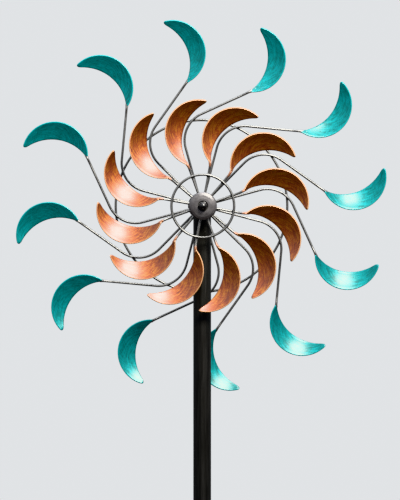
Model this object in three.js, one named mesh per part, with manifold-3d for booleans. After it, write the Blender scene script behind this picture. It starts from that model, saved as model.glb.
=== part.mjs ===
// Garden windmill: two metal rotors, one in front of a pole and one behind it, that turn freely on one
// fixed axle. The pole comes apart in two and stands on a three-pronged ground socket.
// Units are millimetres. +Z is up and the windmill faces -Y. The origin is on the pole's axis at ground
// level, where the underside of the socket's base disc rests on the soil.
import * as THREE from "three";
import { mergeVertices } from "three/addons/utils/BufferGeometryUtils.js";
import Module from "manifold-3d";

const wasm = await Module();
wasm.setup();

const DEG = Math.PI / 180;
const GAP = 0.3; // clearance between neighbouring pieces

// ---- Facets ----
const ROUND = 24; // round the pole, discs and tubes
const SMALL_ROUND = 16; // round bearings, nuts and screws
const WIRE_SIDES = 6;

// ---- Rotors ----
// The rotor frame has x to the right, y up and z forwards along the axle, as seen from the front.
const BLADE_COUNT = 12;
const BLADE_PITCH = 360 / BLADE_COUNT;
const WIRE_R = 2;

// Every blade is a crescent between the same two circles, pressed into a shallow bowl.
const BLADE = {
  edgeR: 53.3, // convex edge, about the crescent's centre
  hollowR: 68.8, // concave edge
  hollowOffset: 44.7, // from the crescent's centre to the concave edge's centre
  bowlR: 110, // the bowl's axis goes through the crescent's centre
  thickness: 1.2,
  lengthSteps: 10,
  widthSteps: 2,
};

// Where a rotor's crescents and wires lie. Clock angles run clockwise from straight up.
const FRONT_ROTOR = {
  bladeR: 114.8, // axle to crescent centre
  bladeClock: -3.3,
  hollowFaces: -18.3, // direction of the hollow side, from +x towards +y
  outwards: 1, // the outer end is this way round from the hollow side's direction
  tipAngle: 86, // from the middle of the convex edge to the outer end
  rootAngle: 88, // and to the inner end
  wireClock: -19.7, // the wire's straight stretch out of the hub
  wireBendR: 40,
  wireSteps: 8,
  wireZ: 34,
  ringR: 49.5,
  ringSteps: 36,
  side: 1, // in front of the pole
};
const REAR_ROTOR = {
  bladeR: 251,
  bladeClock: -10.7,
  hollowFaces: 202.8,
  outwards: -1,
  tipAngle: 84,
  rootAngle: 87,
  wireClock: -45.4,
  wireBendR: 46.5,
  wireSteps: 16,
  wireZ: -32.6,
  ringR: 139.2,
  ringSteps: 48,
  side: -1, // behind the pole
};
const WIRE_TO_CHORD = 58.2; // angle between a wire's last stretch and the chord of its blade
const WIRE_TAIL = 30; // length of wire behind the blade
const TAIL_CLEARANCE = 0.7; // between the wire and the sheet's back
const RIM_Z = 4.9; // blade's front edge in front of the wire
const WELD = 0.4; // overlap of two wires that are welded into one piece

// ---- Axle and hubs, as distances along the axle from the pole's centre line, alike on both sides ----
const AXLE = { r: 4, halfLength: 55.6 };
const JAM_NUT = { low: 14.8, high: 20.8, acrossFlats: 13 };
const BEARING = { r: 11, innerLow: 21.4, outerLow: 38.3, width: 7 };
const BARREL = { r: 14, low: 21.2, high: 45.5, shoulderR: 9 };
const HUB_CAP = { r: 22, low: 42.8, flatR: 15, boreR: 8.2, thickness: 1.2 };
const CAP_NUT = { low: 45.6, hexHeight: 7, neck: 1.75, domeR: 6.25, boreDepth: 11, acrossFlats: 13 };

// ---- Pole and ground socket ----
const AXLE_HEIGHT = 1345;
const POLE = { r: 14.3, wall: 1.2, top: AXLE_HEIGHT + 14, joint: 690, foot: 24.6 };
const SPIGOT = { r: 12.7, wall: 1.2, length: 60, shoulder: 4 };
const POLE_CAP = { brim: 1.4, crown: 3, plug: 7 };
const SOCKET = { discR: 32, discThickness: 4, tubeR: 12.7, tubeWall: 1.6, top: 125 };
const PRONG = { r: 4, height: 20, reach: 46, bendR: 16, depth: 200, point: 26, sides: 8, steps: 10 };
const PRONG_CLOCKS = [90, 210, 330]; // from +X towards +Y
const SCREW = { r: 2.5, length: 7, headR: 5.2, headHeight: 3 };
const SCREW_HEIGHTS = { socket_screw: 85, pole_screw: 722 };

// ---- Materials ----
const blackSteel = new THREE.MeshStandardMaterial({ color: 0x1a1a1b, roughness: 0.5, metalness: 0.6 });
const greySteel = new THREE.MeshStandardMaterial({ color: 0x4c4a4d, roughness: 0.45, metalness: 0.7 });
const blackPlastic = new THREE.MeshStandardMaterial({ color: 0x17181a, roughness: 0.6, metalness: 0 });
const copperPaint = new THREE.MeshStandardMaterial({ color: 0xb4602c, roughness: 0.35, metalness: 0.85 });
const tealPaint = new THREE.MeshStandardMaterial({ color: 0x0a9a9c, roughness: 0.35, metalness: 0.5 });
const zincSteel = new THREE.MeshStandardMaterial({ color: 0xa9abae, roughness: 0.35, metalness: 0.9 });

// ---- Solids ----

// A closed geometry as a manifold-3d solid.
function solidOf(geometry) {
  const bare = geometry.index ? geometry.toNonIndexed() : geometry.clone();
  bare.deleteAttribute("normal");
  bare.deleteAttribute("uv");
  const merged = mergeVertices(bare, 1e-3);
  return new wasm.Manifold(
    new wasm.Mesh({
      numProp: 3,
      vertProperties: merged.attributes.position.array,
      triVerts: new Uint32Array(merged.index.array),
    }),
  );
}

function geometryOf(solid) {
  const mesh = solid.getMesh();
  return new THREE.BufferGeometry()
    .setAttribute("position", new THREE.BufferAttribute(mesh.vertProperties, 3))
    .setIndex(new THREE.BufferAttribute(mesh.triVerts, 1));
}

function join(geometries) {
  return geometryOf(geometries.map(solidOf).reduce((whole, piece) => whole.add(piece)));
}

function cut(geometry, tools) {
  return geometryOf(tools.map(solidOf).reduce((left, tool) => left.subtract(tool), solidOf(geometry)));
}

function named(name, geometry, material) {
  const mesh = new THREE.Mesh(geometry, material);
  mesh.name = name;
  return mesh;
}

// A turned part about +Z. The profile's [radius, z] points run anticlockwise in that plane: they start and
// end on the axis, or go all the way round a section that is clear of it.
function turned(profile, sides) {
  const points = profile.map(([r, z]) => new THREE.Vector2(r, z));
  if (profile[0][0] > 0) points.push(points[0].clone());
  return new THREE.LatheGeometry(points, sides).rotateX(Math.PI / 2);
}

// A round or, with 6 sides, hexagonal bar along +Z.
function bar(r, low, high, sides) {
  return new THREE.CylinderGeometry(r, r, high - low, sides)
    .rotateX(Math.PI / 2)
    .translate(0, 0, (low + high) / 2);
}

function hexBar(acrossFlats, low, high) {
  return bar(acrossFlats / 2 / Math.cos(30 * DEG), low, high, 6);
}

function polygonShape(r, sides) {
  const corners = Array.from({ length: sides }, (_, i) => {
    const angle = (i / sides) * 2 * Math.PI;
    return new THREE.Vector2(r * Math.cos(angle), r * Math.sin(angle));
  });
  return new THREE.Shape(corners);
}

// A round rod or wire along a smooth line through the points.
function rod(points, r, sides, steps) {
  const path = new THREE.CatmullRomCurve3(points, false, "centripetal");
  return new THREE.ExtrudeGeometry(polygonShape(r, sides), { steps, extrudePath: path });
}

// A wire hoop about the axle.
function hoop(r, z, steps) {
  const section = Array.from({ length: WIRE_SIDES }, (_, i) => {
    const angle = (i / WIRE_SIDES) * 2 * Math.PI;
    return [r + WIRE_R * Math.cos(angle), z + WIRE_R * Math.sin(angle)];
  });
  return turned(section, steps);
}

// ---- Blades and wires ----

function clockPoint(r, clock) {
  return new THREE.Vector2(r * Math.sin(clock * DEG), r * Math.cos(clock * DEG));
}

// How far the bowl has fallen behind the convex edge, at a distance r from the crescent's centre.
function bowlFall(r) {
  return Math.sqrt(BLADE.bowlR ** 2 - r ** 2) - Math.sqrt(BLADE.bowlR ** 2 - BLADE.edgeR ** 2);
}

// The concave edge's distance from the crescent's centre, in a direction given from the hollow side.
function hollowEdge(angle) {
  const along = BLADE.hollowOffset * Math.cos(angle * DEG);
  return along + Math.sqrt(along ** 2 + BLADE.hollowR ** 2 - BLADE.hollowOffset ** 2);
}

// One pressed crescent, bent out of a flat strip. The crescent's centre is the origin and its hollow side
// faces +x. The convex edge's facets stand round its circle, so they touch it from outside.
function crescent({ outwards, tipAngle, rootAngle }) {
  const { edgeR, thickness, lengthSteps, widthSteps } = BLADE;
  const first = outwards > 0 ? 180 - tipAngle : 180 - rootAngle;
  const sweep = tipAngle + rootAngle;
  const edgeCornerR = edgeR / Math.cos((sweep / lengthSteps / 2) * DEG);
  const strip = new THREE.BoxGeometry(1, 1, 1, lengthSteps, widthSteps, 1);
  const place = strip.attributes.position;
  for (let i = 0; i < place.count; i += 1) {
    const angle = first + sweep * (place.getX(i) + 0.5);
    const r = THREE.MathUtils.lerp(edgeCornerR, hollowEdge(angle), place.getY(i) + 0.5);
    const z = (place.getZ(i) - 0.5) * thickness - bowlFall(Math.min(r, edgeR));
    place.setXYZ(i, r * Math.cos(angle * DEG), r * Math.sin(angle * DEG), z);
  }
  return strip;
}

// The first blade of a rotor, in the rotor frame.
function firstBlade(rotor) {
  const centre = clockPoint(rotor.bladeR, rotor.bladeClock);
  return crescent(rotor)
    .rotateZ(rotor.hollowFaces * DEG)
    .translate(centre.x, centre.y, rotor.wireZ + RIM_Z);
}

// The centre line of the first blade's wire: straight out of the hub, round one bend, straight to the
// blade's inner end, and on behind the blade, where it follows the bowl's back.
function wirePoints(rotor) {
  const centre = clockPoint(rotor.bladeR, rotor.bladeClock);
  const facing = new THREE.Vector2(1, 0).rotateAround(new THREE.Vector2(), rotor.hollowFaces * DEG);
  const chord = new THREE.Vector2(-facing.y, facing.x).multiplyScalar(rotor.outwards);
  const rootR = (BLADE.edgeR + hollowEdge(180 - rotor.rootAngle)) / 2;
  const root = centre
    .clone()
    .addScaledVector(facing, -rootR * Math.cos(rotor.rootAngle * DEG))
    .addScaledVector(chord, -rootR * Math.sin(rotor.rootAngle * DEG));
  const turnToWire = rotor.outwards * WIRE_TO_CHORD * DEG;
  const heading = chord.clone().rotateAround(new THREE.Vector2(), turnToWire);

  const out = clockPoint(1, rotor.wireClock);
  const sine = out.cross(heading);
  const cornerR = root.cross(heading) / sine;
  const setback = rotor.wireBendR * Math.tan(Math.abs(Math.asin(sine)) / 2);
  const bendStart = out.clone().multiplyScalar(cornerR - setback);
  const sideways = new THREE.Vector2(-out.y, out.x).multiplyScalar(Math.sign(sine) * rotor.wireBendR);
  const bendCentre = bendStart.clone().add(sideways);

  const flat = [out.clone().multiplyScalar(BARREL.r + GAP)];
  for (const share of [0, 0.25, 0.5, 0.75, 1]) {
    flat.push(bendStart.clone().rotateAround(bendCentre, Math.asin(sine) * share));
  }
  const points = flat.map((p) => new THREE.Vector3(p.x, p.y, rotor.wireZ));
  for (const share of [0, 0.35, 0.7, 1]) {
    const behind = root.clone().addScaledVector(heading, WIRE_TAIL * share);
    const fall = bowlFall(behind.distanceTo(centre));
    points.push(new THREE.Vector3(behind.x, behind.y, rotor.wireZ + tailDrop(fall)));
  }
  return points;
}

// A wire's height change where the blade has fallen by `fall`: it keeps under the sheet's back.
function tailDrop(fall) {
  const clearOfSheet = RIM_Z - BLADE.thickness - fall - 1.1 * WIRE_R - TAIL_CLEARANCE;
  return Math.min(0, clearOfSheet);
}

function firstWire(rotor) {
  return rod(wirePoints(rotor), WIRE_R, WIRE_SIDES, rotor.wireSteps);
}

// Twelve turned copies of a geometry, each passed to `make` with its number.
function aroundAxle(geometry, make) {
  return Array.from({ length: BLADE_COUNT }, (_, i) => {
    return make(geometry.clone().rotateZ(-i * BLADE_PITCH * DEG), String(i + 1).padStart(2, "0"));
  });
}

// ---- Hub parts, in the rotor frame in front of the pole ----

function bearing(low) {
  const high = low + BEARING.width;
  const bore = AXLE.r + GAP;
  const section = [[bore, low], [BEARING.r, low], [BEARING.r, high], [bore, high]];
  return turned(section, SMALL_ROUND);
}

// The barrel holds a bearing in each end, against a shoulder between them.
function hubBarrel() {
  const { r, low, high, shoulderR } = BARREL;
  const seatR = BEARING.r + GAP;
  const innerSeat = BEARING.innerLow + BEARING.width + GAP;
  const outerSeat = BEARING.outerLow - GAP;
  return turned(
    [
      [seatR, low], [r, low], [r, high], [seatR, high],
      [seatR, outerSeat], [shoulderR, outerSeat], [shoulderR, innerSeat], [seatR, innerSeat],
    ],
    SMALL_ROUND,
  );
}

// A shallow pressed cover over the barrel's outer end, with a hole that the cap nut stands in.
function hubCap() {
  const { r, low, flatR, boreR, thickness } = HUB_CAP;
  const flat = BARREL.high + GAP;
  return turned(
    [
      [boreR, flat], [flatR, flat], [r - 1.4, low], [r, low], [r, low + 1],
      [(r + flatR) / 2 + 1, flat + 0.1], [flatR + 0.6, flat + thickness], [boreR, flat + thickness],
    ],
    ROUND,
  );
}

function capNut() {
  const { low, hexHeight, neck, domeR, boreDepth, acrossFlats } = CAP_NUT;
  const shoulder = low + hexHeight + neck;
  const dome = [30, 60, 90].map((a) => [domeR * Math.cos(a * DEG), shoulder + domeR * Math.sin(a * DEG)]);
  dome[2][0] = 0;
  const crown = turned([[0, low + 1], [domeR, low + 1], [domeR, shoulder], ...dome], SMALL_ROUND);
  const body = join([hexBar(acrossFlats, low, low + hexHeight), crown]);
  return cut(body, [bar(AXLE.r + GAP, low - 1, low + boreDepth, SMALL_ROUND)]);
}

function jamNut() {
  const hex = hexBar(JAM_NUT.acrossFlats, JAM_NUT.low, JAM_NUT.high);
  return cut(hex, [bar(AXLE.r + GAP, JAM_NUT.low - 1, JAM_NUT.high + 1, SMALL_ROUND)]);
}

// The parts that are alike on both sides of the pole, turned to a rotor's side.
function hubPart(name, geometry, material, rotor) {
  const mesh = named(name, geometry, material);
  if (rotor.side < 0) mesh.rotation.y = Math.PI;
  return mesh;
}

function hub(prefix, rotor) {
  return [
    hubPart(`${prefix}_hub_barrel`, hubBarrel(), blackSteel, rotor),
    hubPart(`${prefix}_hub_cap`, hubCap(), greySteel, rotor),
    hubPart(`${prefix}_inner_bearing`, bearing(BEARING.innerLow), zincSteel, rotor),
    hubPart(`${prefix}_outer_bearing`, bearing(BEARING.outerLow), zincSteel, rotor),
  ];
}

// ---- Rotors ----

// The front rotor's wires are welded behind a small hoop, which makes one spoked wheel of them.
function frontRotor() {
  const rotor = new THREE.Group();
  const spokes = aroundAxle(firstWire(FRONT_ROTOR), (spoke) => spoke);
  const ring = hoop(FRONT_ROTOR.ringR, FRONT_ROTOR.wireZ + 2 * WIRE_R - WELD, FRONT_ROTOR.ringSteps);
  rotor.add(named("front_spoke_wheel", join([ring, ...spokes]), blackSteel));
  const blades = aroundAxle(firstBlade(FRONT_ROTOR), (blade, number) => {
    return named(`front_blade_${number}`, blade, copperPaint);
  });
  return rotor.add(...blades, ...hub("front", FRONT_ROTOR));
}

// The rear rotor's arms each carry a blade, and a large hoop behind them ties their elbows together.
function rearRotor() {
  const rotor = new THREE.Group();
  const arms = aroundAxle(firstWire(REAR_ROTOR), (arm, number) => {
    return named(`rear_arm_${number}`, arm, blackSteel);
  });
  const blades = aroundAxle(firstBlade(REAR_ROTOR), (blade, number) => {
    return named(`rear_blade_${number}`, blade, tealPaint);
  });
  const ring = hoop(REAR_ROTOR.ringR, REAR_ROTOR.wireZ - 2 * WIRE_R - GAP, REAR_ROTOR.ringSteps);
  rotor.add(named("rear_outer_ring", ring, blackSteel));
  return rotor.add(...arms, ...blades, ...hub("rear", REAR_ROTOR));
}

// The axle and its nuts, with both rotors on it.
function head() {
  const group = new THREE.Group();
  group.position.z = AXLE_HEIGHT;
  group.rotation.x = Math.PI / 2;
  group.add(named("axle", bar(AXLE.r, -AXLE.halfLength, AXLE.halfLength, SMALL_ROUND), zincSteel));
  for (const [prefix, rotor] of [["front", FRONT_ROTOR], ["rear", REAR_ROTOR]]) {
    group.add(hubPart(`${prefix}_jam_nut`, jamNut(), zincSteel, rotor));
    group.add(hubPart(`${prefix}_cap_nut`, capNut(), greySteel, rotor));
  }
  return group.add(frontRotor(), rearRotor());
}

// ---- Pole ----

// A hole along Y through the front of the pole, or through both walls.
function crossHole(r, z, low, high) {
  return bar(r, low, high, SMALL_ROUND).rotateX(Math.PI / 2).translate(0, 0, z);
}

function screwHole(name) {
  return crossHole(SCREW.r + GAP, SCREW_HEIGHTS[name], 0, 2 * POLE.r);
}

// The lower section's top is drawn in to a spigot, which the upper section slides over.
function lowerPole() {
  const { r, wall, joint, foot } = POLE;
  const neck = joint + SPIGOT.shoulder;
  const tube = turned(
    [
      [r - wall, foot], [r, foot], [r, joint], [SPIGOT.r, neck], [SPIGOT.r, joint + SPIGOT.length],
      [SPIGOT.r - SPIGOT.wall, joint + SPIGOT.length], [SPIGOT.r - SPIGOT.wall, neck], [r - wall, joint],
    ],
    ROUND,
  );
  return cut(tube, [screwHole("socket_screw"), screwHole("pole_screw")]);
}

function upperPole() {
  const { r, wall, joint, top } = POLE;
  const low = joint + SPIGOT.shoulder + GAP;
  const tube = turned([[r - wall, low], [r, low], [r, top], [r - wall, top]], ROUND);
  const axleHole = crossHole(AXLE.r + GAP, AXLE_HEIGHT, -2 * r, 2 * r);
  return cut(tube, [screwHole("pole_screw"), axleHole]);
}

// A push-in cap that closes the pole's top.
function poleCap() {
  const brim = POLE.top + GAP;
  const plugR = POLE.r - POLE.wall - GAP;
  const { plug, brim: brimHeight, crown } = POLE_CAP;
  return turned(
    [
      [0, brim - plug], [plugR, brim - plug], [plugR, brim], [POLE.r, brim],
      [POLE.r, brim + brimHeight], [POLE.r * 0.7, brim + crown], [0, brim + crown + 0.8],
    ],
    ROUND,
  );
}

// ---- Ground socket ----

function groundSocket() {
  const { discR, discThickness, tubeR, tubeWall, top } = SOCKET;
  const boreR = tubeR - tubeWall;
  const body = turned(
    [
      [0, 0], [discR, 0], [discR, discThickness], [tubeR, discThickness],
      [tubeR, top], [boreR, top], [boreR, discThickness + 2], [0, discThickness + 2],
    ],
    ROUND,
  );
  return cut(body, [screwHole("socket_screw")]);
}

// A rod out from the socket's tube, round a bend and down into the soil, with a tapered point.
function prong(clock) {
  const { r, height, reach, bendR, depth, point, sides, steps } = PRONG;
  const line = [new THREE.Vector3(SOCKET.tubeR + GAP, 0, height)];
  for (const angle of [90, 60, 30, 0]) {
    const x = reach - bendR + bendR * Math.cos(angle * DEG);
    line.push(new THREE.Vector3(x, 0, height - bendR + bendR * Math.sin(angle * DEG)));
  }
  line.push(new THREE.Vector3(reach, 0, point - depth));
  const tip = new THREE.CylinderGeometry(r * 1.02, r * 0.2, point + 1, sides)
    .rotateX(Math.PI / 2)
    .translate(reach, 0, (point + 1) / 2 - depth);
  return join([rod(line, r, sides, steps), tip]).rotateZ(clock * DEG);
}

// A pan-head screw in from the front, through the pole's wall and the tube inside it.
function screw() {
  const { r, length, headR, headHeight } = SCREW;
  const seat = POLE.r + GAP;
  return turned(
    [
      [0, seat - length], [r, seat - length], [r, seat], [headR, seat],
      [headR, seat + headHeight * 0.5], [headR * 0.7, seat + headHeight], [0, seat + headHeight],
    ],
    SMALL_ROUND,
  ).rotateX(Math.PI / 2);
}

function stand() {
  const group = new THREE.Group();
  group.add(named("ground_socket", groundSocket(), blackSteel));
  PRONG_CLOCKS.forEach((clock, i) => {
    group.add(named(`ground_prong_${i + 1}`, prong(clock), blackSteel));
  });
  group.add(named("lower_pole", lowerPole(), blackSteel));
  group.add(named("upper_pole", upperPole(), blackSteel));
  group.add(named("pole_cap", poleCap(), blackPlastic));
  for (const [name, height] of Object.entries(SCREW_HEIGHTS)) {
    const mesh = named(name, screw(), zincSteel);
    mesh.position.z = height;
    group.add(mesh);
  }
  return group;
}

const windmill = new THREE.Group();
windmill.add(stand(), head());

export default windmill;
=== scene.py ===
import math
import random

import bmesh
import bpy
from mathutils import Matrix, Vector


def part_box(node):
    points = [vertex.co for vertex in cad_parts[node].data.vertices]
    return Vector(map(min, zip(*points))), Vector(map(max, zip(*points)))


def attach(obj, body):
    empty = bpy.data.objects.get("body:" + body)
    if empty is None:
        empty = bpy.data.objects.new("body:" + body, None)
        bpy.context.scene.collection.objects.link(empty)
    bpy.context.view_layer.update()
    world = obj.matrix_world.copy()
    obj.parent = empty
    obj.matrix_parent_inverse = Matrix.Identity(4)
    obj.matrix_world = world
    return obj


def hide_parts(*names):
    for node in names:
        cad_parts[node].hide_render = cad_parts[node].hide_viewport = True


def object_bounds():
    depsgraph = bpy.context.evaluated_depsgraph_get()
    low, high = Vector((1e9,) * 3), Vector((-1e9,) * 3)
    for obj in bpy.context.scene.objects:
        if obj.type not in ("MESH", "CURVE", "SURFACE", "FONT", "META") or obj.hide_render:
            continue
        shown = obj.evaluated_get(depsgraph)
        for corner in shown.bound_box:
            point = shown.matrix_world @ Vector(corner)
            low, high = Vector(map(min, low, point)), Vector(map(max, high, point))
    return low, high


# The garden windmill's looks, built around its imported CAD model. Lengths are in metres and angles in
# degrees. Every piece is made in the CAD model's frame, so its object stays at the origin.
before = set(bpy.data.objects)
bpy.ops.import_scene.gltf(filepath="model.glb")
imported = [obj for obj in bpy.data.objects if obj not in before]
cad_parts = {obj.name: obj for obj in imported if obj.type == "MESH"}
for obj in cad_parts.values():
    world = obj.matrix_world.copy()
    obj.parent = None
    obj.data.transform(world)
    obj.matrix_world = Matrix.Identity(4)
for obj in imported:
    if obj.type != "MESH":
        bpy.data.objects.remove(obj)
cad_low, cad_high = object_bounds()

MM = 0.001
SHARP_ANGLE = 38  # edges that turn more than this aren't shaded smooth

# ---- Sizes ----


def middle_z(node_name):
    """The height of the middle of a CAD node."""
    low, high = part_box(node_name)
    return (low.z + high.z) / 2


AXLE_LOW, AXLE_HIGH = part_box("axle")
AXLE_Z = middle_z("axle")
AXLE_R = (AXLE_HIGH.z - AXLE_LOW.z) / 2
POLE_LOW, POLE_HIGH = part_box("upper_pole")
POLE_R = POLE_HIGH.x
TUBE_WALL = 1.2 * MM
SCREW_R = 2.5 * MM
HOLE_DEPTH = 2 * POLE_R  # how far a drill reaches from the pole's axis

# The rotor frame has x to the right, y up and z forwards along the axle, as seen from the front.
FRONT = Matrix.Translation((0, 0, AXLE_Z)) @ Matrix.Rotation(math.radians(90), 4, "X")
BACK = FRONT @ Matrix.Rotation(math.radians(180), 4, "Y")

BLADE_COUNT = 12
BLADE_PITCH = 360 / BLADE_COUNT
WIRE_R = 2 * MM
TAIL = 30 * MM  # wire behind a blade
RIM_Z = 4.9 * MM  # a blade's front edge in front of its wire
WIRE_TO_CHORD = 58.2  # angle between a wire's last stretch and the chord of its blade
HUB_R = 14 * MM

# Every blade is a crescent between two circles, pressed into a shallow bowl.
EDGE_R = 53.3 * MM
HOLLOW_R = 68.8 * MM
HOLLOW_OFFSET = 44.7 * MM
BOWL_R = 110 * MM
SHEET = 1.1 * MM
LIP_R = 2.1 * MM  # the convex edge is turned back over this radius
LIP_DEPTH = 2.8 * MM

FRONT_ROTOR = {
    "blade_r": 114.8 * MM,
    "blade_clock": -3.3,
    "hollow_faces": -18.3,
    "outwards": 1,
    "tip_angle": 86,
    "root_angle": 88,
    "wire_clock": -19.7,
    "bend_r": 40 * MM,
    "wire_z": 34 * MM,
    "ring_r": 49.5 * MM,
}
REAR_ROTOR = {
    "blade_r": 251 * MM,
    "blade_clock": -10.7,
    "hollow_faces": 202.8,
    "outwards": -1,
    "tip_angle": 84,
    "root_angle": 87,
    "wire_clock": -45.4,
    "bend_r": 46.5 * MM,
    "wire_z": -32.6 * MM,
    "ring_r": 139.2 * MM,
}

# ---- Meshes ----


def add_skin(bm, rings, loop=False):
    """Joins rings of points, closed at both ends or round in a loop. Returns the rows of vertices."""
    rows = [[bm.verts.new(point) for point in ring] for ring in rings]
    pairs = list(zip(rows, rows[1:]))
    if loop:
        pairs.append((rows[-1], rows[0]))
    for a, b in pairs:
        count = max(len(a), len(b))
        for i in range(count):
            j = (i + 1) % count
            corners = [a[i % len(a)], a[j % len(a)], b[j % len(b)], b[i % len(b)]]
            bm.faces.new(list(dict.fromkeys(corners)))
    if not loop:
        for row in (rows[0], rows[-1]):
            if len(row) > 2:
                bm.faces.new(row)
    return rows


def circle(r, z, sides):
    if r == 0:
        return [Vector((0, 0, z))]
    turns = [2 * math.pi * i / sides for i in range(sides)]
    return [Vector((r * math.cos(a), r * math.sin(a), z)) for a in turns]


def rounded(corners, steps=4):
    """A profile with its corners, given as (radius, height, fillet), rounded."""
    closed = corners[0][0] > 0
    profile = []
    for i, (r, z, fillet) in enumerate(corners):
        corner = Vector((r, z))
        if fillet == 0 or (not closed and i in (0, len(corners) - 1)):
            profile.append((r, z))
            continue
        to_last = Vector(corners[i - 1][:2]) - corner
        to_next = Vector(corners[(i + 1) % len(corners)][:2]) - corner
        half = to_last.angle(to_next) / 2
        reach = min(fillet / math.tan(half), 0.49 * to_last.length, 0.49 * to_next.length)
        start = corner + to_last.normalized() * reach
        end = corner + to_next.normalized() * reach
        for step in range(steps + 1):
            s = step / steps
            point = start * (1 - s) ** 2 + corner * 2 * s * (1 - s) + end * s**2
            profile.append((point.x, point.y))
    return profile


def frames_along(points):
    """A direction and two square to it at each point, turning as little as they can."""
    made = []
    side = None
    for i in range(len(points)):
        ahead = points[min(i + 1, len(points) - 1)] - points[max(i - 1, 0)]
        ahead.normalize()
        if side is None:
            side = ahead.orthogonal()
        side = (side - ahead * side.dot(ahead)).normalized()
        made.append((ahead, side, ahead.cross(side)))
    return made


DOME_ANGLES = (75, 50, 25)


def add_tube(bm, points, radii, sides=16, dome=0.6, place=Matrix()):
    """A rod along the points with a radius for each, and domed ends."""
    stations = list(zip(points, radii, frames_along(points)))
    domes = []
    for sign, (point, r, axes) in ((-1, stations[0]), (1, stations[-1])):
        rounds = []
        for angle in DOME_ANGLES:
            depth = dome * r * math.sin(math.radians(angle))
            rounds.append((point + axes[0] * sign * depth, r * math.cos(math.radians(angle)), axes))
        domes.append(rounds)
    stations = domes[0] + stations + domes[1][::-1]
    rings = []
    for point, r, (_, side, up) in stations:
        turns = [2 * math.pi * i / sides for i in range(sides)]
        rings.append([place @ (point + (side * math.cos(a) + up * math.sin(a)) * r) for a in turns])
    return add_skin(bm, rings)


def add_bead(bm, centre, along, length, r, seed, place):
    """A weld bead: a short lumpy bar with rounded ends."""
    draw = random.Random(seed)
    steps = 9
    points, radii = [], []
    for i in range(steps):
        s = 2 * i / (steps - 1) - 1
        points.append(centre + along.normalized() * s * length / 2)
        ripple = 1 + 0.12 * math.sin(i * 2.1 + seed) + draw.uniform(-0.05, 0.05)
        radii.append(r * ripple * math.sqrt(max(0.15, 1 - (0.9 * s) ** 2)))
    add_tube(bm, points, radii, sides=12, place=place)


def add_weld_ring(bm, centre, axis, r, bead_r, seed):
    """A weld bead all the way round a rod."""
    draw = random.Random(seed)
    side = axis.orthogonal().normalized()
    other = axis.cross(side).normalized()
    rings = []
    for i in range(36):
        turn = 2 * math.pi * i / 36
        out = side * math.cos(turn) + other * math.sin(turn)
        lump = bead_r * (1 + 0.14 * math.sin(turn * 12) + draw.uniform(-0.05, 0.05))
        ring = []
        for j in range(8):
            around = 2 * math.pi * j / 8
            ring.append(centre + out * (r + lump * math.cos(around)) + axis * lump * math.sin(around))
        rings.append(ring)
    add_skin(bm, rings, loop=True)


def finish_mesh(bm, name, sharp=SHARP_ANGLE):
    """Makes an object of the mesh, smooth except over its sharp edges."""
    bmesh.ops.recalc_face_normals(bm, faces=bm.faces)
    mesh = bpy.data.meshes.new(name)
    bm.to_mesh(mesh)
    bm.free()
    mesh.shade_smooth()
    mesh.set_sharp_from_angle(angle=math.radians(sharp))
    made = bpy.data.objects.new(name, mesh)
    bpy.context.scene.collection.objects.link(made)
    return made


def lathe_piece(name, profile, sides=96, place=Matrix()):
    """Turns (radius, height) points about +Z. They start and end on the axis, or close on themselves."""
    bm = bmesh.new()
    rings = [[place @ p for p in circle(r, z, sides)] for r, z in profile]
    add_skin(bm, rings, loop=profile[0][0] > 0)
    return finish_mesh(bm, name)


def cut(made, tool):
    """Cuts the tool's shape out of a piece, and deletes the tool."""
    modifier = made.modifiers.new("cut", "BOOLEAN")
    modifier.operation = "DIFFERENCE"
    modifier.solver = "EXACT"
    modifier.object = tool
    bpy.context.view_layer.update()
    shape = made.evaluated_get(bpy.context.evaluated_depsgraph_get())
    mesh = bpy.data.meshes.new_from_object(shape)
    made.modifiers.remove(modifier)
    made.data = mesh
    mesh.set_sharp_from_angle(angle=math.radians(SHARP_ANGLE))
    bpy.data.objects.remove(tool)


def drill(made, r, height, near, far):
    """A round hole along Y, from near to far."""
    place = Matrix.Translation((0, 0, height)) @ Matrix.Rotation(math.radians(-90), 4, "X")
    tool = lathe_piece("drill", [(0, near), (r, near), (r, far), (0, far)], 32, place)
    cut(made, tool)


# ---- Materials ----


def new_material(name, **values):
    """A Principled material with uniform values on its own sockets."""
    material = bpy.data.materials.new(name)
    material.use_nodes = True
    tree = material.node_tree
    shader = tree.nodes["Principled BSDF"]
    for socket, value in values.items():
        shader.inputs[socket.replace("_", " ")].default_value = value
    return material, tree, shader


def node(tree, kind, inputs=None, **settings):
    made = tree.nodes.new("ShaderNode" + kind)
    for key, value in settings.items():
        setattr(made, key, value)
    for key, value in (inputs or {}).items():
        if isinstance(value, bpy.types.NodeSocket):
            tree.links.new(value, made.inputs[key])
        else:
            made.inputs[key].default_value = value
    return made


def attribute(tree, name):
    return node(tree, "Attribute", attribute_name=name)


def place_in(tree, vector, scale, turn=0.0):
    """The coordinates turned about Z and then scaled."""
    turned = node(tree, "VectorRotate", {"Vector": vector, "Angle": math.radians(turn)})
    return node(tree, "VectorMath", {0: turned.outputs[0], 1: scale}, operation="MULTIPLY").outputs[0]


def noise(tree, vector, scale, detail, roughness=0.55):
    inputs = {"Vector": vector, "Scale": scale, "Detail": detail, "Roughness": roughness}
    return node(tree, "TexNoise", inputs).outputs["Fac"]


def ramp(tree, factor, stops):
    made = node(tree, "ValToRGB", {0: factor})
    points = made.color_ramp.elements
    while len(points) < len(stops):
        points.new(0.5)
    for point, (position, colour) in zip(points, stops):
        point.position = position
        point.color = (*colour, 1)
    return made.outputs[0]


def product(tree, a, b):
    return node(tree, "Math", {0: a, 1: b}, operation="MULTIPLY").outputs[0]


def mean_of(tree, a, b, share):
    """a and b mixed, with that share of a."""
    return node(tree, "Mix", {0: share, 2: b, 3: a}).outputs[0]


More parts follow.
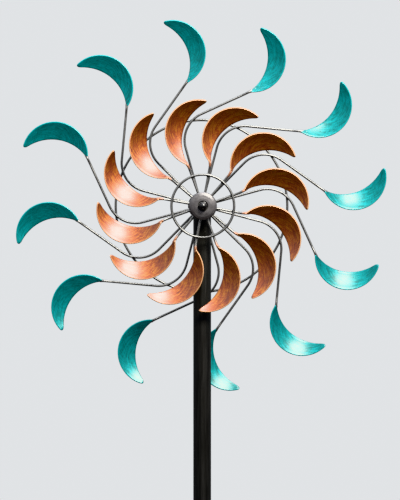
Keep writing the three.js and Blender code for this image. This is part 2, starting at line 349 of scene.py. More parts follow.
def blend(tree, factor, under, over):
    """One colour over another. The upper one is an RGB tuple."""
    inputs = {0: factor, 6: under, 7: (*over, 1)}
    return node(tree, "Mix", inputs, data_type="RGBA").outputs[2]


def span(tree, value, low, high, to_low=0.0, to_high=1.0):
    """A value carried smoothly from one range to another."""
    inputs = {"Value": value, "From Min": low, "From Max": high, "To Min": to_low, "To Max": to_high}
    return node(tree, "MapRange", inputs, interpolation_type="SMOOTHSTEP").outputs[0]


def set_bump(tree, shader, layers):
    """Bumps of (height, depth in metres), one on another."""
    normal = None
    for height, depth in layers:
        inputs = {"Height": height, "Distance": depth, "Strength": 1.0}
        if normal is not None:
            inputs["Normal"] = normal
        normal = node(tree, "Bump", inputs).outputs[0]
    tree.links.new(normal, shader.inputs["Normal"])


def object_coordinates(tree):
    return node(tree, "TexCoord").outputs["Object"]


def blade_paint(name, dark, body, bright, burnt, rim, metallic, roughness, coat):
    """Metallic lacquer over brushed sheet, burnt at the ends and pale on the turned rim. The pale rim is
    a painted highlight along the lip, together with paint worn at the edge. The `brush` attribute runs
    along the blade, across it and through the blades' numbers, in metres, so that no two are alike. The
    `share` attribute is 0 at the inner end and 1 at the outer one."""
    material, tree, shader = new_material(
        name,
        Metallic=metallic,
        Specular_IOR_Level=0.0,
        Coat_Weight=coat,
        Coat_Roughness=0.25,
        Coat_IOR=1.7,
    )
    brush = attribute(tree, "brush").outputs["Vector"]
    lengthwise = noise(tree, place_in(tree, brush, (0.16, 1.5, 1.0), 12), 330, 3, 0.6)
    oblique = noise(tree, place_in(tree, brush, (0.2, 1.5, 1.0), -34), 400, 2, 0.5)
    scratches = noise(tree, place_in(tree, brush, (0.12, 2.6, 1.0), 20), 520, 2, 0.5)
    patches = noise(tree, brush, 55, 3, 0.5)
    streaks = mean_of(tree, lengthwise, oblique, 0.68)
    tone = mean_of(tree, streaks, patches, 0.86)
    colour = ramp(tree, tone, [(0.4, dark), (0.5, body), (0.61, bright)])
    lines = span(tree, scratches, 0.6, 0.72)
    colour = blend(tree, product(tree, lines, 0.6), colour, bright)

    along = attribute(tree, "share").outputs["Fac"]
    root = span(tree, along, 0.0, 0.09, 0.75, 0.0)
    tip = span(tree, along, 0.93, 1.0, 0.0, 0.45)
    either = node(tree, "Math", {0: root, 1: tip}, operation="ADD").outputs[0]
    colour = blend(tree, product(tree, either, patches), colour, burnt)
    across = node(tree, "SeparateXYZ", {0: brush}).outputs["Y"]
    # Painted highlight: the pale rim colour is laid over the lip at the convex edge, with some paint
    # worn there.
    colour = blend(tree, span(tree, across, 0.9 * MM, 1.9 * MM, 0.9, 0.0), colour, rim)
    tree.links.new(colour, shader.inputs["Base Color"])

    rough = span(tree, tone, 0.35, 0.65, roughness + 0.08, roughness - 0.06)
    tree.links.new(rough, shader.inputs["Roughness"])
    set_bump(tree, shader, [(patches, 0.12 * MM), (streaks, 0.045 * MM), (lines, 0.012 * MM)])
    return material


def wire_paint():
    """Semi-gloss black paint. The `paint` attribute is how much copper has been sprayed over it."""
    material, tree, shader = new_material(
        "wire_black", Coat_Weight=1.0, Coat_Roughness=0.38, Coat_IOR=1.7
    )
    place = object_coordinates(tree)
    fine = noise(tree, place, 2200, 3)
    worn = noise(tree, place, 160, 5, 0.6)
    black = ramp(tree, worn, [(0.35, (0.006, 0.006, 0.0065)), (0.7, (0.02, 0.0195, 0.02))])
    sprayed = attribute(tree, "paint").outputs["Fac"]
    colour = blend(tree, sprayed, black, (0.3, 0.105, 0.035))
    tree.links.new(colour, shader.inputs["Base Color"])
    tree.links.new(product(tree, sprayed, 0.8), shader.inputs["Metallic"])
    tree.links.new(span(tree, fine, 0.2, 0.8, 0.24, 0.36), shader.inputs["Roughness"])
    set_bump(tree, shader, [(fine, 0.004 * MM)])
    return material


def pole_paint():
    """Satin black powder coat with faint orange peel, over marks drawn along the tube."""
    material, tree, shader = new_material("pole_black", Specular_IOR_Level=0.2)
    place = object_coordinates(tree)
    peel = noise(tree, place, 900, 3)
    drawn = noise(tree, place_in(tree, place, (1.0, 1.0, 0.06)), 260, 4, 0.6)
    colour = ramp(tree, drawn, [(0.35, (0.004, 0.004, 0.0042)), (0.7, (0.011, 0.011, 0.0115))])
    tree.links.new(colour, shader.inputs["Base Color"])
    tree.links.new(span(tree, drawn, 0.25, 0.75, 0.42, 0.52), shader.inputs["Roughness"])
    set_bump(tree, shader, [(peel, 0.05 * MM)])
    return material


def dark_lacquer(name, low, high, roughness):
    """Dark metallic lacquer with fine flakes and a slight cloudiness."""
    material, tree, shader = new_material(name, Metallic=0.75, Coat_Weight=0.4, Coat_Roughness=0.2)
    place = object_coordinates(tree)
    flakes = noise(tree, place, 1500, 4, 0.7)
    cloud = noise(tree, place, 90, 4, 0.6)
    colour = ramp(tree, cloud, [(0.35, low), (0.68, high)])
    tree.links.new(colour, shader.inputs["Base Color"])
    rough = span(tree, flakes, 0.25, 0.75, roughness - 0.05, roughness + 0.08)
    tree.links.new(rough, shader.inputs["Roughness"])
    set_bump(tree, shader, [(flakes, 0.03 * MM)])
    return material


def zinc():
    """Bright zinc plating with a fine grain and dull patches."""
    material, tree, shader = new_material("zinc_steel", Metallic=1.0)
    place = object_coordinates(tree)
    grain = noise(tree, place, 1400, 5, 0.65)
    dull = noise(tree, place, 220, 4, 0.6)
    colour = ramp(tree, dull, [(0.3, (0.36, 0.36, 0.35)), (0.7, (0.62, 0.62, 0.64))])
    tree.links.new(colour, shader.inputs["Base Color"])
    tree.links.new(span(tree, dull, 0.25, 0.75, 0.42, 0.26), shader.inputs["Roughness"])
    set_bump(tree, shader, [(grain, 0.03 * MM)])
    return material


def plastic():
    """Moulded black plastic with a fine grain and scuffs."""
    material, tree, shader = new_material("black_plastic")
    place = object_coordinates(tree)
    grain = noise(tree, place, 2600, 2)
    scuffs = noise(tree, place, 300, 5, 0.65)
    colour = ramp(tree, scuffs, [(0.4, (0.014, 0.014, 0.015)), (0.72, (0.03, 0.03, 0.031))])
    tree.links.new(colour, shader.inputs["Base Color"])
    tree.links.new(span(tree, scuffs, 0.3, 0.7, 0.45, 0.6), shader.inputs["Roughness"])
    set_bump(tree, shader, [(grain, 0.05 * MM)])
    return material


# Linear colours. The lacquers' three tones run from the shaded side of a brush mark to its crest.
COPPER = blade_paint(
    "copper_lacquer",
    dark=(0.078, 0.01, 0.0),
    body=(0.145, 0.025, 0.0),
    bright=(0.265, 0.088, 0.004),
    burnt=(0.03, 0.008, 0.001),
    # rim: a painted highlight along the turned lip, with some paint worn at the edge
    rim=(0.6, 0.34, 0.18),
    metallic=1.0,
    roughness=0.48,
    coat=0.85,
)
TEAL = blade_paint(
    "teal_lacquer",
    dark=(0.0, 0.06, 0.062),
    body=(0.0, 0.096, 0.103),
    bright=(0.0, 0.138, 0.156),
    burnt=(0.0, 0.06, 0.062),
    # rim: a painted highlight along the turned lip, with some paint worn at the edge
    rim=(0.0, 0.2, 0.22),
    metallic=0.6,
    roughness=0.5,
    coat=0.34,
)
WIRE = wire_paint()
POLE = pole_paint()
CAP_STEEL = dark_lacquer("hub_grey", (0.048, 0.045, 0.049), (0.088, 0.084, 0.09), 0.4)
NUT_STEEL = dark_lacquer("nut_black", (0.012, 0.012, 0.013), (0.03, 0.03, 0.032), 0.3)
ZINC = zinc()
PLASTIC = plastic()


def fit(made, material, body, node_name):
    """Gives a piece its material, and puts it on its body in place of a CAD node."""
    made.data.materials.clear()
    made.data.materials.append(material)
    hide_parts(node_name)
    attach(made, body)


# ---- Blades ----


def clock_point(r, clock):
    """A point at a distance from the axle and an angle clockwise from straight up."""
    angle = math.radians(clock)
    return Vector((r * math.sin(angle), r * math.cos(angle), 0))


def blade_turn(number):
    """Turns the first blade or wire of a rotor round the axle to another one's place."""
    return Matrix.Rotation(math.radians(-BLADE_PITCH * number), 4, "Z")


def bowl_fall(r):
    """How far the bowl has fallen behind the convex edge, at a distance from the crescent's centre."""
    return math.sqrt(BOWL_R**2 - r**2) - math.sqrt(BOWL_R**2 - EDGE_R**2)


def hollow_edge(angle):
    """The concave edge's distance from the crescent's centre, in a direction from the hollow side."""
    along = HOLLOW_OFFSET * math.cos(math.radians(angle))
    return along + math.sqrt(along**2 + HOLLOW_R**2 - HOLLOW_OFFSET**2)


def blade_section(width):
    """Points round a cut across the blade, as (distance from the convex edge, height). The front runs
    from the concave edge to the convex one, which is turned back in a lip."""
    lip = LIP_R * min(1, width / (6 * MM))
    depth = LIP_DEPTH * min(1, width / (6 * MM))
    sheet = SHEET * min(1, width / (3 * MM))
    front_steps, back_steps, lip_steps = 9, 6, 4
    front_end = width - sheet / 2
    points = []
    for i in range(front_steps):
        points.append((front_end + (lip - front_end) * i / front_steps, 0))
    for i in range(lip_steps + 1):
        turn = math.radians(90 * i / lip_steps)
        points.append((lip - lip * math.sin(turn), lip * math.cos(turn) - lip))
    inside = 0.7 * sheet
    points += [(0, 0.15 * sheet - depth), (inside / 2, -depth), (inside, 0.15 * sheet - depth)]
    for i in range(back_steps + 1):
        share = i / back_steps
        start = min(lip + inside, front_end)
        points.append((start + (front_end - start) * share, -sheet))
    points += [(width - 0.07 * sheet, -0.75 * sheet), (width - 0.07 * sheet, -0.25 * sheet)]
    return points


def blade_angles(rotor):
    """Where the blade is cut across, in degrees from the hollow side: closer together at its ends."""
    root = 180 + rotor["outwards"] * rotor["root_angle"]
    tip = 180 - rotor["outwards"] * rotor["tip_angle"]
    ends = [0.0, 0.0012, 0.004, 0.0085, 0.014]
    shares = ends + [0.02 + 0.96 * i / 54 for i in range(55)] + [1 - e for e in reversed(ends)]
    return [(share, root + (tip - root) * share) for share in shares]


BRUSH_STEP = 0.37  # from one blade's brush marks to the next one's, through the noise


def blade_piece(name, rotor, number, material, body, node_name):
    """One pressed crescent with a turned lip and round ends."""
    centre = clock_point(rotor["blade_r"], rotor["blade_clock"])
    centre.z = rotor["wire_z"] + RIM_Z
    brush_place = (number + 1) * BRUSH_STEP
    place = FRONT @ blade_turn(number) @ Matrix.Translation(centre)
    place = place @ Matrix.Rotation(math.radians(rotor["hollow_faces"]), 4, "Z")
    length = EDGE_R * math.radians(rotor["root_angle"] + rotor["tip_angle"])
    rings, brush, shares = [], [], []
    for share, angle in blade_angles(rotor):
        turn = math.radians(angle)
        whole = EDGE_R - hollow_edge(angle)
        from_end = min(share, 1 - share) * length
        end_r = whole / 2
        round_end = math.sqrt(max(0.02, 1 - max(0, 1 - from_end / end_r) ** 2))
        width = whole * round_end
        edge = EDGE_R - (whole - width) / 2
        drop = LIP_R * (1 - round_end)  # the ends are turned back too
        ring = []
        for inwards, height in blade_section(width):
            r = edge - inwards
            z = height - bowl_fall(r) - drop
            ring.append(place @ Vector((r * math.cos(turn), r * math.sin(turn), z)))
            brush.append((share * length, inwards, brush_place))
            shares.append(share)
        rings.append(ring)
    bm = bmesh.new()
    add_skin(bm, rings)
    made = finish_mesh(bm, name, sharp=50)
    streaks = made.data.attributes.new("brush", "FLOAT_VECTOR", "POINT")
    streaks.data.foreach_set("vector", [x for point in brush for x in point])
    places = made.data.attributes.new("share", "FLOAT", "POINT")
    places.data.foreach_set("value", shares)
    fit(made, material, body, node_name)


# ---- Wires ----

BEAD_R = 2.3 * MM
OVERSPRAY = 0.9  # how much of the copper lacquer covers the wire at the blade


def wire_line(rotor):
    """The first wire's centre line and, for each point, its distance to the blade's inner end, which is
    negative behind the blade. The wire runs straight out of the hub, round one bend and straight on, and
    comes forwards to the back of the sheet."""
    centre = clock_point(rotor["blade_r"], rotor["blade_clock"])
    facing = Matrix.Rotation(math.radians(rotor["hollow_faces"]), 3, "Z") @ Vector((1, 0, 0))
    chord = Vector((-facing.y, facing.x, 0)) * rotor["outwards"]
    root_turn = math.radians(rotor["root_angle"])
    root_r = (EDGE_R + hollow_edge(180 - rotor["root_angle"])) / 2
    root = centre - facing * root_r * math.cos(root_turn) - chord * root_r * math.sin(root_turn)
    heading = Matrix.Rotation(rotor["outwards"] * math.radians(WIRE_TO_CHORD), 3, "Z") @ chord

    out = clock_point(1, rotor["wire_clock"])
    sine = out.cross(heading).z
    bend = math.asin(sine)
    setback = rotor["bend_r"] * math.tan(abs(bend) / 2)
    start = out * (root.cross(heading).z / sine - setback)
    sideways = Vector((-out.y, out.x, 0)) * math.copysign(rotor["bend_r"], sine)
    bend_centre = start + sideways

    step = 2 * MM
    first = out * (HUB_R - 0.4 * MM)
    count = math.ceil((start - first).length / (2 * step))
    line = [first.lerp(start, i / count) for i in range(count)]
    count = math.ceil(abs(bend) * rotor["bend_r"] / step)
    for i in range(count + 1):
        line.append(bend_centre + Matrix.Rotation(bend * i / count, 3, "Z") @ (start - bend_centre))
    elbow = line[-1]
    end = root + heading * TAIL
    count = math.ceil((end - elbow).length / step)
    line += [elbow.lerp(end, i / count) for i in range(1, count + 1)]

    points, distances = [], []
    for point in line:
        before = (root - point).dot(heading)
        rise = span_of(before, 16 * MM, 0)
        r = min((point - centre).length, EDGE_R)
        under_sheet = RIM_Z - SHEET - bowl_fall(r) - 0.85 * WIRE_R
        points.append(Vector((point.x, point.y, rotor["wire_z"] + rise * under_sheet)))
        distances.append(before)
    return points, distances


def span_of(value, low, high):
    """0 at low, 1 at high and smooth between them."""
    share = min(1, max(0, (value - low) / (high - low)))
    return share * share * (3 - 2 * share)


def wire_radius(before):
    """The wire is thicker where it is melted to the blade, near the blade's inner end."""
    melted = span_of(before, 4 * MM, -2 * MM) * span_of(before, -20 * MM, -14 * MM)
    ripple = 0.10 * math.sin(before / MM * 2.2)
    return WIRE_R * (1 + melted * (0.22 + ripple))


def wire_piece(name, rotor, number, body, node_name, sprayed):
    """One bent wire, with the weld at its foot and the one behind the blade. It is sprayed with the
    blade's lacquer for a little way inwards of the blade."""
    turn = FRONT @ blade_turn(number)
    points, distances = wire_line(rotor)
    bm = bmesh.new()
    rows = add_tube(bm, points, [wire_radius(d) for d in distances], place=turn)
    foot = clock_point(HUB_R + 0.9 * MM, rotor["wire_clock"]) + Vector((0, 0, rotor["wire_z"]))
    outwards = clock_point(1, rotor["wire_clock"])
    add_bead(bm, foot, outwards, 3.6 * MM, BEAD_R, number, turn)
    bm.verts.index_update()
    fade = random.Random(number + 40).uniform(4, 15) * MM
    paint = [0.0] * len(bm.verts)
    for i, row in enumerate(rows):
        before = distances[min(max(i - len(DOME_ANGLES), 0), len(points) - 1)]
        for vertex in row:
            paint[vertex.index] = sprayed * span_of(before, fade, 2 * MM)
    made = finish_mesh(bm, name)
    coat = made.data.attributes.new("paint", "FLOAT", "POINT")
    coat.data.foreach_set("value", paint)
    fit(made, WIRE, body, node_name)


def hoop_piece(name, rotor, side, body, node_name):
    """A wire hoop in front of the wires (side 1) or behind them (side -1), with a weld bead where each
    of them crosses it."""
    from_wire = side * (2 * WIRE_R - 0.3 * MM)
    bm = bmesh.new()
    rings = []
    for i in range(240):
        out = clock_point(1, 1.5 * i)
        ring = []
        for j in range(14):
            around = 2 * math.pi * j / 14
            point = out * (rotor["ring_r"] + WIRE_R * math.cos(around))
            point.z = rotor["wire_z"] + from_wire + WIRE_R * math.sin(around)
            ring.append(FRONT @ point)
        rings.append(ring)
    add_skin(bm, rings, loop=True)
    points, _ = wire_line(rotor)
    crossing = min(points, key=lambda p: abs(p.to_2d().length - rotor["ring_r"]))
    for number in range(BLADE_COUNT):
        at = blade_turn(number) @ (crossing + Vector((0, 0, from_wire / 2)))
        round_axle = Vector((-at.y, at.x, 0))
        add_bead(bm, at, round_axle, 7 * MM, BEAD_R, number, FRONT)
    fit(finish_mesh(bm, name), WIRE, body, node_name)


def build_rotors():
    for number in range(BLADE_COUNT):
        tag = f"{number + 1:02d}"
        copper, teal = f"copper_blade_{tag}", f"teal_blade_{tag}"
        front, rear = f"front_spoke_{tag}", f"rear_spoke_{tag}"
        blade_piece(
            copper, FRONT_ROTOR, number, COPPER, "front_rotor", f"front_blade_{tag}"
        )
        blade_piece(teal, REAR_ROTOR, number, TEAL, "rear_rotor", f"rear_blade_{tag}")
        wire_piece(front, FRONT_ROTOR, number, "front_rotor", "front_spoke_wheel", OVERSPRAY)
        wire_piece(rear, REAR_ROTOR, number, "rear_rotor", f"rear_arm_{tag}", 0.0)
    hoop_piece("inner_hoop", FRONT_ROTOR, 1, "front_rotor", "front_spoke_wheel")
    hoop_piece("outer_hoop", REAR_ROTOR, -1, "rear_rotor", "rear_outer_ring")


# ---- Hubs ----

HEX_SIDES = 72  # points round a nut


def hex_rings(across_flats, levels):
    """Rings of a hexagonal bar, turned down to a radius at each level of (height, radius)."""
    rings = []
    for z, turned_r in levels:
        ring = []
        for i in range(HEX_SIDES):
            turn = 360 / HEX_SIDES * i
            flat = across_flats / 2 / math.cos(math.radians(turn % 60 - 30))
            r = min(flat, turned_r)
            ring.append(Vector((r * math.cos(math.radians(turn)), r * math.sin(math.radians(turn)), z)))
        rings.append(ring)
    return rings


def barrel_profile():
    """Both bearing seats, the shoulder between them and two grooves outside."""
    low, high = 21.2 * MM, 45.5 * MM
    seat, shoulder = 11.15 * MM, 9 * MM
    edge = 0.5 * MM
    groove = 0.5 * MM
    corners = [(seat, low, edge / 2), (HUB_R, low, edge)]
    for z in (24.4 * MM, 41.6 * MM):
        corners += [
            (HUB_R, z - 0.5 * MM, groove / 3),
            (HUB_R - groove, z - 0.2 * MM, groove / 3),
            (HUB_R - groove, z + 0.2 * MM, groove / 3),
            (HUB_R, z + 0.5 * MM, groove / 3),
        ]
    corners += [
        (HUB_R, high, edge),
        (seat, high, edge / 2),
        (seat, 38 * MM, 0),
        (shoulder, 38 * MM, edge / 2),
        (shoulder, 28.7 * MM, edge / 2),
        (seat, 28.7 * MM, 0),
    ]
    return rounded(corners)


def bearing_profile(low):
    """Outer race, recessed seal and inner race, as one turned section."""
    bore, outside, width = AXLE_R, 11 * MM, 7 * MM
    high = low + width
    inner_race, outer_race, recess = 6.1 * MM, 9.6 * MM, 0.5 * MM
    edge = 0.35 * MM
    return rounded([
        (bore, low, edge), (inner_race, low, 0.1 * MM), (inner_race, low + recess, 0.1 * MM),
        (outer_race, low + recess, 0.1 * MM), (outer_race, low, 0.1 * MM), (outside, low, edge),
        (outside, high, edge), (outer_race, high, 0.1 * MM), (outer_race, high - recess, 0.1 * MM),
        (inner_race, high - recess, 0.1 * MM), (inner_race, high, 0.1 * MM), (bore, high, edge),
    ])


def hub_cap_profile():
    """A shallow pressed dome with a rounded, turned-in rim."""
    bore, r, sheet = 8.2 * MM, 22 * MM, 1.1 * MM
    top, low = 47 * MM, 42.8 * MM
    outer = [
        (bore, top - sheet, 0), (bore, top, 0.4 * MM), (12 * MM, top - 0.15 * MM, 3 * MM),
        (17 * MM, top - 0.75 * MM, 4 * MM), (20.3 * MM, top - 1.7 * MM, 2 * MM),
        (r, top - 2.9 * MM, 1.2 * MM), (r, low, 0.4 * MM),
    ]
    inner = [
        (r - sheet, low, 0.4 * MM), (r - sheet, top - 3.4 * MM, 0.8 * MM),
        (19.7 * MM, top - sheet - 1.6 * MM, 1.5 * MM), (16.8 * MM, top - sheet - 0.75 * MM, 3 * MM),
        (12 * MM, top - sheet - 0.15 * MM, 3 * MM),
    ]
    return rounded(outer + inner, steps=5)


def cap_nut_piece(name, place):
    """An acorn nut: a chamfered hexagon with a flange under it and a dome on it."""
    low, hex_top, dome_r = 45.6 * MM, 52.6 * MM, 6.1 * MM
    across, corner = 13 * MM, 7.5 * MM
    shoulder = 54.35 * MM
    bore, bore_end = AXLE_R + 0.1 * MM, low + 11 * MM
    levels = [(low, 6.4 * MM), (low + 0.35 * MM, 7.0 * MM), (low + 0.75 * MM, corner)]
    levels += [(hex_top - 1.0 * MM, corner), (hex_top - 0.45 * MM, 7.0 * MM), (hex_top, 6.35 * MM)]
    bm = bmesh.new()
    rings = [circle(0, bore_end, HEX_SIDES), circle(bore, bore_end, HEX_SIDES)]
    rings.append(circle(bore, low, HEX_SIDES))
    rings += hex_rings(across, levels)
    rings += [circle(dome_r, hex_top + 0.05 * MM, HEX_SIDES), circle(dome_r, shoulder, HEX_SIDES)]
    for angle in range(8, 90, 8):
        turn = math.radians(angle)
        rings.append(circle(dome_r * math.cos(turn), shoulder + dome_r * math.sin(turn), HEX_SIDES))
    rings.append(circle(0, shoulder + dome_r, HEX_SIDES))
    add_skin(bm, [[place @ p for p in ring] for ring in rings])
    return finish_mesh(bm, name, sharp=24)


def jam_nut_piece(name, place):
    """A thin nut, chamfered on both faces."""
    low, high = 14.8 * MM, 20.8 * MM
    across, corner = 13 * MM, 7.5 * MM
    levels = [(low, 6.4 * MM), (low + 0.8 * MM, corner), (high - 0.8 * MM, corner), (high, 6.4 * MM)]
    bore = AXLE_R + 0.05 * MM
    bm = bmesh.new()
    chamfer = 0.4 * MM
    rings = [circle(bore, low + chamfer, HEX_SIDES), circle(bore + chamfer, low, HEX_SIDES)]
    rings += hex_rings(across, levels)
    rings += [circle(bore + chamfer, high, HEX_SIDES), circle(bore, high - chamfer, HEX_SIDES)]
    add_skin(bm, [[place @ p for p in ring] for ring in rings], loop=True)
    return finish_mesh(bm, name, sharp=24)


def axle_piece():
    """The axle's thread, with plain chamfered ends."""
    pitch, depth = 1.25 * MM, 0.6 * MM
    half = (AXLE_HIGH.y - AXLE_LOW.y) / 2
    sides, steps = 24, 6
    count = round(2 * half / pitch * steps)
    rings = []
    for i in range(count + 1):
        z = -half + 2 * half * i / count
        to_end = half - abs(z)
        crest = min(AXLE_R, AXLE_R - depth - 0.3 * MM + to_end)
        ring = []
        for j in range(sides):
            phase = (z / pitch - j / sides) % 1
            groove = depth * min(1, 2 * abs(phase - 0.5) * 1.15)
            r = min(AXLE_R - groove, crest)
            turn = 2 * math.pi * j / sides
            ring.append(FRONT @ Vector((r * math.cos(turn), r * math.sin(turn), z)))
        rings.append(ring)
    bm = bmesh.new()
    add_skin(bm, rings)
    return finish_mesh(bm, "threaded_axle", sharp=60)


def add_seals(race, place):
    """Makes the recessed faces between a bearing's races into black seals."""
    race.data.materials.append(PLASTIC)
    for face in race.data.polygons:
        local = place.inverted() @ face.center
        if 6.2 * MM < local.to_2d().length < 9.5 * MM:
            face.material_index = 1


def build_hubs():
    fit(axle_piece(), ZINC, "stand", "axle")
    for side, place in (("front", FRONT), ("rear", BACK)):
        body = f"{side}_rotor"
        barrel = lathe_piece(f"{side}_barrel", barrel_profile(), 72, place)
        fit(barrel, POLE, body, f"{side}_hub_barrel")
        cap = lathe_piece(f"{side}_cap", hub_cap_profile(), 96, place)
        fit(cap, CAP_STEEL, body, f"{side}_hub_cap")
        for where, low in (("inner", 21.4 * MM), ("outer", 38.3 * MM)):
            race = lathe_piece(f"{side}_{where}_race", bearing_profile(low), 64, place)
            fit(race, ZINC, body, f"{side}_{where}_bearing")
            add_seals(race, place)
        acorn = cap_nut_piece(f"{side}_acorn_nut", place)
        fit(acorn, NUT_STEEL, "stand", f"{side}_cap_nut")
        lock = jam_nut_piece(f"{side}_lock_nut", place)
        fit(lock, ZINC, "stand", f"{side}_jam_nut")


# ---- Pole and ground socket ----


def screw_piece(name, node_name):
    """A pan-head screw with a crossed recess."""
    seat = POLE_R + 0.05 * MM
    top, end = seat + 3 * MM, seat - 7 * MM
    head_r = 5.2 * MM
    profile = rounded([
        (0, end, 0), (SCREW_R, end, 0.5 * MM), (SCREW_R, seat, 0),
        (head_r, seat, 0.3 * MM), (head_r, seat + 1.3 * MM, 1.2 * MM),
        (head_r * 0.72, top, 1.5 * MM), (0, top, 0),
    ])
    place = Matrix.Translation((0, 0, middle_z(node_name))) @ Matrix.Rotation(math.radians(90), 4, "X")
    made = lathe_piece(name, profile, 48, place)
    bottom_of_cross = (seat + 1 * MM, 1.3 * MM, 0.3 * MM)
    above_head = (top + 1 * MM, 2.9 * MM, 0.55 * MM)
    rings = []
    for z, arm, half in (bottom_of_cross, above_head):
        corners = []
        for turn in range(4):
            spin = Matrix.Rotation(math.radians(90 * turn), 3, "Z")
            corners += [spin @ Vector(p) for p in ((arm, -half, z), (arm, half, z), (half, half, z))]
        rings.append([place @ p for p in corners])
    bm = bmesh.new()
    add_skin(bm, rings)
    cut(made, finish_mesh(bm, "recess"))
    fit(made, ZINC, "stand", node_name)


def build_pole():
    edge = 0.5 * MM
    tube = POLE_R - TUBE_WALL
    upper = lathe_piece("pole_upper_tube", rounded([
        (tube, POLE_LOW.z, edge), (POLE_R, POLE_LOW.z, edge),
        (POLE_R, POLE_HIGH.z, edge), (tube, POLE_HIGH.z, edge),
    ]))
    screw_hole, axle_hole = SCREW_R + 0.1 * MM, AXLE_R + 0.2 * MM
    drill(upper, screw_hole, middle_z("pole_screw"), -HOLE_DEPTH, 0)
    drill(upper, axle_hole, AXLE_Z, -HOLE_DEPTH, HOLE_DEPTH)
    fit(upper, POLE, "stand", "upper_pole")

    low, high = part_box("lower_pole")
    joint, neck = 690 * MM, 694 * MM
    spigot = 12.7 * MM
    bore = spigot - TUBE_WALL
    lower = lathe_piece("pole_lower_tube", rounded([
        (tube, low.z, edge), (POLE_R, low.z, edge), (POLE_R, joint, 1.2 * MM), (spigot, neck, 0.8 * MM),
        (spigot, high.z, edge), (bore, high.z, edge), (bore, neck, 0.8 * MM), (tube, joint, 1.2 * MM),
    ]))
    drill(lower, screw_hole, middle_z("pole_screw"), -HOLE_DEPTH, 0)
    drill(lower, screw_hole, middle_z("socket_screw"), -HOLE_DEPTH, 0)
    fit(lower, POLE, "stand", "lower_pole")

    low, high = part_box("pole_cap")
    plug = tube - 0.4 * MM
    brim = POLE_HIGH.z + 0.3 * MM
    cap = lathe_piece("pole_end_cap", rounded([
        (0, low.z, 0), (plug, low.z, 0.8 * MM), (plug, brim, 0),
        (POLE_R, brim, 0.3 * MM), (POLE_R, brim + 1.6 * MM, 1.4 * MM),
        (POLE_R * 0.72, high.z - 0.7 * MM, 6 * MM), (0, high.z, 0),
    ], steps=6))
    fit(cap, PLASTIC, "stand", "pole_cap")
    screw_piece("joint_pan_screw", "pole_screw")
    screw_piece("socket_pan_screw", "socket_screw")


def socket_piece():
    """The base disc and its tube, with a weld between them."""
    low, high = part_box("ground_socket")
    disc_r, disc, tube = high.x, 4 * MM, 12.7 * MM
    bore, bottom = tube - 1.6 * MM, disc + 2 * MM
    edge = 0.5 * MM
    made = lathe_piece("ground_socket_tube", rounded([
        (0, low.z, 0), (disc_r, low.z, edge), (disc_r, disc, 0.8 * MM), (tube, disc, 2.2 * MM),
        (tube, high.z, edge), (bore, high.z, edge), (bore, bottom, edge), (0, bottom, 0),
    ], steps=5))
    drill(made, SCREW_R + 0.1 * MM, middle_z("socket_screw"), -HOLE_DEPTH, 0)
    fit(made, POLE, "stand", "ground_socket")


def prong_piece(name, clock, node_name):
    """A rod out of the socket, round a bend and down, forged to a point, with a weld round its foot."""
    r, height, reach, bend_r, point = 4 * MM, 20 * MM, 46 * MM, 16 * MM, 26 * MM
    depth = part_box(node_name)[0].z
    points = [Vector((12.4 * MM, 0, height)), Vector((20 * MM, 0, height))]
    bend_centre = Vector((reach - bend_r, 0, height - bend_r))
    for i in range(17):
        turn = math.radians(90 - 90 * i / 16)
        points.append(bend_centre + Vector((math.cos(turn), 0, math.sin(turn))) * bend_r)
    points += [Vector((reach, 0, height - bend_r - 30 * MM * i)) for i in range(1, 6)]
    radii = [r] * len(points)
    for share in (0, 0.15, 0.4, 0.7, 0.9, 1):
        points.append(Vector((reach, 0, depth + point * (1 - share) + 0.4 * MM * share)))
        radii.append(r * (1 - 0.82 * share**1.15))
    spin = Matrix.Rotation(math.radians(clock), 3, "Z")
    foot, outwards = spin @ Vector((13.4 * MM, 0, height)), spin @ Vector((1, 0, 0))
    bm = bmesh.new()
    add_tube(bm, [spin @ p for p in points], radii, sides=32, dome=0.35)
    add_weld_ring(bm, foot, outwards, r, 1.5 * MM, clock)
    fit(finish_mesh(bm, name), POLE, "stand", node_name)


def build_socket():
    socket_piece()
    for number, clock in enumerate((90, 210, 330), 1):
        prong_piece(f"soil_prong_{number}", clock, f"ground_prong_{number}")


# ---- Studio ----

HUB = Vector((0, 0, AXLE_Z))
SKY_STRENGTH = 1.9
FLOOR_R = 0.6
FLOOR_THICKNESS = 0.03


def build_floor():
    """A round pale floor under the prongs' points."""
    top, bottom = cad_low.z, cad_low.z - FLOOR_THICKNESS
    floor = lathe_piece("studio_floor", rounded([
        (0, bottom, 0), (FLOOR_R, bottom, 0), (FLOOR_R, top, 0.01), (0, top, 0),
    ]), 128)
    material, tree, shader = new_material("floor_pale", Roughness=0.8)
    shade = noise(tree, object_coordinates(tree), 6, 3)
    colour = ramp(tree, shade, [(0.3, (0.25, 0.25, 0.247)), (0.7, (0.29, 0.29, 0.287))])
    tree.links.new(colour, shader.inputs["Base Color"])
    floor.data.materials.append(material)


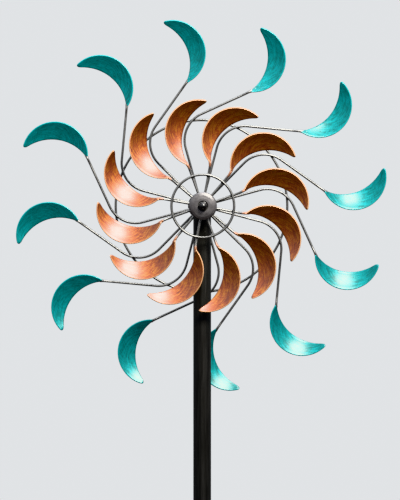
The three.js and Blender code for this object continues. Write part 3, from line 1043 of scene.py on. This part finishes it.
def build_sky():
    """A soft dome of light, bright above and dim below. The camera sees a plain pale backdrop."""
    world = bpy.data.worlds.new("studio")
    bpy.context.scene.world = world
    world.use_nodes = True
    tree = world.node_tree
    direction = node(tree, "TexCoord").outputs["Generated"]
    height = node(tree, "SeparateXYZ", {0: direction}).outputs["Z"]
    level = node(tree, "Math", {0: height, 1: 0.5, 2: 0.5}, operation="MULTIPLY_ADD").outputs[0]
    dome = ramp(tree, level, [
        (0.15, (0.03, 0.03, 0.03)),
        (0.4, (0.21, 0.21, 0.21)),
        (0.5, (0.42, 0.42, 0.43)),
        (0.62, (0.62, 0.63, 0.64)),
        (0.75, (0.9, 0.93, 0.96)),
        (1.0, (0.85, 0.9, 0.96)),
    ])
    light = tree.nodes["Background"]
    tree.links.new(dome, light.inputs["Color"])
    light.inputs["Strength"].default_value = SKY_STRENGTH
    backdrop = node(tree, "Background", {"Color": (0.8, 0.82, 0.84, 1)})
    seen = node(tree, "LightPath").outputs["Is Camera Ray"]
    both = node(tree, "MixShader", {0: seen, 1: light.outputs[0], 2: backdrop.outputs[0]})
    tree.links.new(both.outputs[0], tree.nodes["World Output"].inputs["Surface"])


def softbox(name, place, wide, high, power, colour):
    """A rectangular light that faces the hub. Its power is in watts."""
    data = bpy.data.lights.new(name, "AREA")
    data.shape = "RECTANGLE"
    data.size = wide
    data.size_y = high
    data.energy = power
    data.color = colour
    light = bpy.data.objects.new(name, data)
    light.location = place
    light.rotation_euler = (HUB - Vector(place)).to_track_quat("-Z", "Y").to_euler()
    bpy.context.scene.collection.objects.link(light)


def build_camera():
    """The photograph's view: level with the hub, a little to its left."""
    data = bpy.data.cameras.new("camera")
    data.lens = 117
    data.sensor_width = 36
    camera = bpy.data.objects.new("camera", data)
    camera.location = (-0.068, -2.6, AXLE_Z)
    target = Vector((-0.0035, 0, AXLE_Z - 0.0704))
    camera.rotation_euler = (target - camera.location).to_track_quat("-Z", "Y").to_euler()
    bpy.context.scene.collection.objects.link(camera)
    bpy.context.scene.camera = camera


build_rotors()
build_hubs()
build_pole()
build_socket()
build_floor()
build_sky()
softbox("key_softbox", (0.85, -2.35, 3.05), 0.95, 0.95, 285, (1, 0.96, 0.84))
softbox("top_softbox", (0.15, -0.5, 3.5), 1.8, 0.7, 60, (1, 1, 1))
build_camera()
bpy.context.scene.view_settings.view_transform = "Khronos PBR Neutral"
